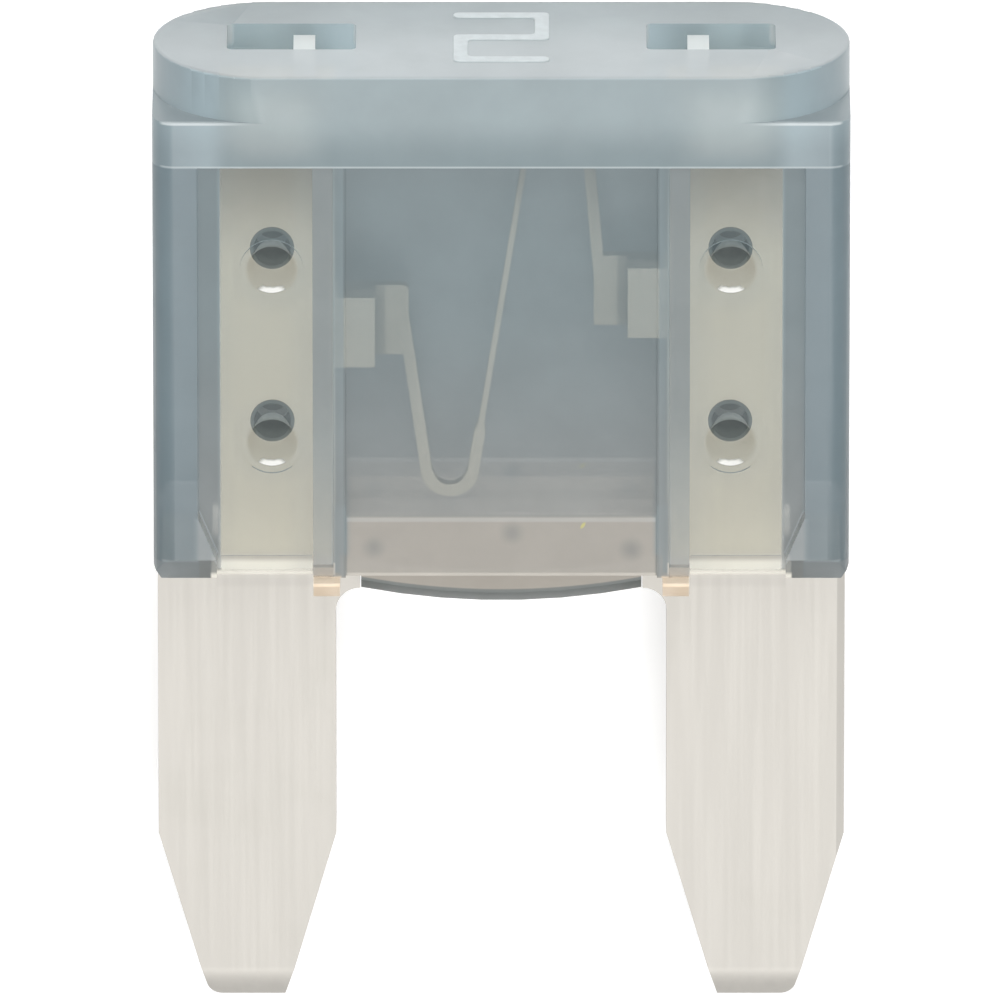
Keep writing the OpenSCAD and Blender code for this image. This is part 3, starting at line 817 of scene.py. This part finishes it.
class FUSE_OT_housing(bpy.types.Operator):
    """Make the see-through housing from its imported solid"""

    bl_idname = "fuse.make_housing"
    bl_label = "Make housing"

    def execute(self, context):
        settings = context.scene.fuse_housing
        piece = copy_of_node("housing", "housing_moulding")
        edge_foot = (HEAD_TOP - CROWN_EDGE) * MM
        for corner in piece.data.vertices:
            if corner.co.y > edge_foot:
                corner.co.y -= settings.head_step * (corner.co.y - edge_foot) / (CROWN_EDGE * MM)
        round_edges(piece, settings.edge_round, math.radians(35))
        piece.data.materials.append(plastic_skin(settings))
        piece.data.materials.append(plastic_bore(settings))
        for face in piece.data.polygons:
            face.material_index = int(is_cavity(face.center))
        finish_piece(piece, "clear_plastic", "housing")
        return {"FINISHED"}


# Element


class FUSE_OT_element(bpy.types.Operator):
    """Make the stamped blades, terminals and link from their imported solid"""

    bl_idname = "fuse.make_element"
    bl_label = "Make element"

    def execute(self, context):
        settings = context.scene.fuse_element
        piece = copy_of_node("fuse_element", "stamped_element")
        round_edges(piece, settings.edge_round, math.radians(35))
        piece.data.materials.append(plated_metal(settings))
        finish_piece(piece, "plated_metal", "fuse_element")
        return {"FINISHED"}


# Numeral


def select_only_edges(piece, test):
    """In edit mode, leaves only the edges whose middle passes a test."""
    bpy.ops.mesh.select_all(action="DESELECT")
    bpy.ops.object.mode_set(mode="OBJECT")
    mesh = piece.data
    found = 0
    for edge in mesh.edges:
        first, second = (mesh.vertices[i].co for i in edge.vertices)
        edge.select = test((first + second) / 2)
        found += edge.select
    bpy.ops.object.mode_set(mode="EDIT")
    if not found:
        raise RuntimeError("no edge to extrude on " + piece.name)


class FUSE_OT_numeral(bpy.types.Operator):
    """Make the raised squared numeral on the head"""

    bl_idname = "fuse.make_numeral"
    bl_label = "Make numeral"

    def execute(self, context):
        settings = context.scene.fuse_numeral
        half_w = (settings.width - settings.stroke) / 2
        half_h = (settings.height - settings.stroke) / 2
        half_s = settings.stroke / 2
        base = HEAD_TOP * MM - 2 * settings.rise
        mid = Vector((settings.across, base, MID_Z * MM - settings.backward))
        # The numeral's upper end lies at the back of the fuse, so Z runs down it
        stops = [(-half_w, -half_h), (half_w, -half_h), (half_w, 0),
                 (-half_w, 0), (-half_w, half_h), (half_w, half_h)]
        deselect_all()
        bpy.ops.mesh.primitive_plane_add(size=settings.stroke, location=(0, 0, 0))
        piece = context.active_object
        piece.name = "head_numeral"
        piece.data.name = "head_numeral"
        for corner in piece.data.vertices:
            corner.co = Vector((corner.co.x + stops[0][0], corner.co.y + stops[0][1], 0))
        make_active(piece)
        bpy.ops.object.mode_set(mode="EDIT")
        bpy.ops.mesh.select_mode(type="EDGE")
        for (ax, ay), (bx, by) in zip(stops, stops[1:]):
            way = Vector((bx - ax, by - ay, 0)).normalized()
            face_edge = Vector((ax, ay, 0)) + way * half_s
            select_only_edges(piece, lambda middle: (middle - face_edge).length < half_s / 4)
            run = math.hypot(bx - ax, by - ay)
            for step in (run - settings.stroke, settings.stroke):
                bpy.ops.mesh.extrude_region_move(TRANSFORM_OT_translate={"value": way * step})
        bpy.ops.mesh.select_all(action="SELECT")
        bpy.ops.mesh.remove_doubles(threshold=half_s / 50)
        bpy.ops.mesh.dissolve_limited(angle_limit=math.radians(1))
        bpy.ops.mesh.select_all(action="SELECT")
        bpy.ops.mesh.bevel(offset=settings.corner, segments=5, affect="VERTICES")
        bpy.ops.mesh.select_all(action="SELECT")
        bpy.ops.mesh.extrude_region_move(
            TRANSFORM_OT_translate={"value": (0, 0, 2 * settings.rise)})
        bpy.ops.object.mode_set(mode="OBJECT")
        for corner in piece.data.vertices:
            flat = corner.co.copy()
            corner.co = mid + Vector((flat.x, flat.z, flat.y))
        bpy.ops.object.mode_set(mode="EDIT")
        bpy.ops.mesh.select_all(action="SELECT")
        bpy.ops.mesh.normals_make_consistent(inside=False)
        bpy.ops.object.mode_set(mode="OBJECT")
        round_edges(piece, settings.rise / 2, math.radians(50), 1)
        piece.data.materials.append(numeral_paint(settings))
        finish_piece(piece, "clear_plastic")
        return {"FINISHED"}


# Stage


def floor_paper():
    """Pale floor that shows white to the camera and keeps the fuse's shadow."""
    material, tree, shader = new_material("white_paper")
    place = place_in_mm(tree)[0]
    tone = fade(tree, noise(tree, place, 0.02), 0.3, 0.7, 0.98, 1.0)
    colour = blend(tree, 1.0, (0.9, 0.9, 0.9, 1.0), tone, "MULTIPLY")
    feed(tree, shader.inputs["Base Color"], colour)
    shader.inputs["Roughness"].default_value = 0.9
    shader.inputs["Specular IOR Level"].default_value = 0.1
    path = tree.nodes.new("ShaderNodeLightPath")
    seen = calc(tree, "MAXIMUM", path.outputs["Is Camera Ray"], path.outputs["Is Glossy Ray"])
    seen = calc(tree, "MAXIMUM", seen, path.outputs["Is Transmission Ray"])
    shader.inputs["Emission Color"].default_value = (1.0, 1.0, 1.0, 1.0)
    feed(tree, shader.inputs["Emission Strength"], calc(tree, "MULTIPLY", seen, 0.35))
    return material


def add_lamp(name, power, size, direction, distance, target):
    """Square soft lamp that looks at the fuse from a direction."""
    lamp = bpy.data.lights.new(name, "AREA")
    lamp.shape = "SQUARE"
    lamp.size = size
    lamp.energy = power
    holder = bpy.data.objects.new(name, lamp)
    bpy.context.scene.collection.objects.link(holder)
    way = Vector(direction).normalized()
    holder.location = target + way * distance
    holder.rotation_mode = "QUATERNION"
    holder.rotation_quaternion = way.to_track_quat("Z", "Y")
    holder.visible_camera = False
    return holder


class FUSE_OT_stage(bpy.types.Operator):
    """Make the floor, the lamps, the even light and the camera"""

    bl_idname = "fuse.make_stage"
    bl_label = "Make stage"

    def execute(self, context):
        settings = context.scene.fuse_stage
        scene = context.scene
        deselect_all()
        bpy.ops.mesh.primitive_plane_add(size=3.0, location=(0, 0, -0.01 * MM))
        floor = context.active_object
        floor.name = "paper_floor"
        floor.data.materials.append(floor_paper())
        target = Vector((-0.02 * MM, settings.aim, 0))
        add_lamp("key_lamp", settings.key_power, 0.3, (0.0, 0.85, 0.6), 0.4, target)
        add_lamp("top_lamp", settings.top_power, 0.3, (0.1, -0.2, 1.0), 0.45, target)
        world = bpy.data.worlds.new("even_light")
        world.use_nodes = True
        sky = world.node_tree.nodes["Background"]
        sky.inputs["Color"].default_value = (1.0, 1.0, 1.0, 1.0)
        sky.inputs["Strength"].default_value = settings.sky
        scene.world = world
        lens = bpy.data.cameras.new("photo_camera")
        lens.sensor_width = 36.0
        lens.lens = lens.sensor_width * settings.distance / settings.frame_width
        lens.clip_start = 0.01
        lens.clip_end = 20.0
        camera = bpy.data.objects.new("photo_camera", lens)
        scene.collection.objects.link(camera)
        away = Vector((0, math.sin(settings.tilt), math.cos(settings.tilt)))
        camera.location = target + away * settings.distance
        camera.rotation_euler = (-settings.tilt, 0, 0)
        scene.camera = camera
        scene.view_settings.view_transform = "Standard"
        deselect_all()
        return {"FINISHED"}


class FUSE_PT_panel(bpy.types.Panel):
    """Buttons and sizes of the fuse in the sidebar"""

    bl_label = "Blade fuse"
    bl_idname = "FUSE_PT_panel"
    bl_space_type = "VIEW_3D"
    bl_region_type = "UI"
    bl_category = "Fuse"

    def draw(self, context):
        for operator, group in STEPS:
            box = self.layout.box()
            box.operator(operator.bl_idname)
            settings = getattr(context.scene, group)
            for name in settings.__annotations__:
                box.prop(settings, name)


GROUPS = {
    "fuse_housing": FuseHousingSettings,
    "fuse_element": FuseElementSettings,
    "fuse_numeral": FuseNumeralSettings,
    "fuse_stage": FuseStageSettings,
}
STEPS = (
    (FUSE_OT_element, "fuse_element"),
    (FUSE_OT_housing, "fuse_housing"),
    (FUSE_OT_numeral, "fuse_numeral"),
    (FUSE_OT_stage, "fuse_stage"),
)
CLASSES = (*GROUPS.values(), *(step[0] for step in STEPS), FUSE_PT_panel)


def register():
    """Registers the classes and hangs each settings group on the scene."""
    for item in CLASSES:
        bpy.utils.register_class(item)
    for name, group in GROUPS.items():
        setattr(bpy.types.Scene, name, bpy.props.PointerProperty(type=group))


def unregister():
    """Takes the settings groups and the classes away again."""
    for name in GROUPS:
        delattr(bpy.types.Scene, name)
    for item in reversed(CLASSES):
        bpy.utils.unregister_class(item)


def main():
    """Makes every piece and the stage."""
    register()
    bpy.ops.fuse.make_element()
    bpy.ops.fuse.make_housing()
    bpy.ops.fuse.make_numeral()
    bpy.ops.fuse.make_stage()


if __name__ == "__main__":
    main()
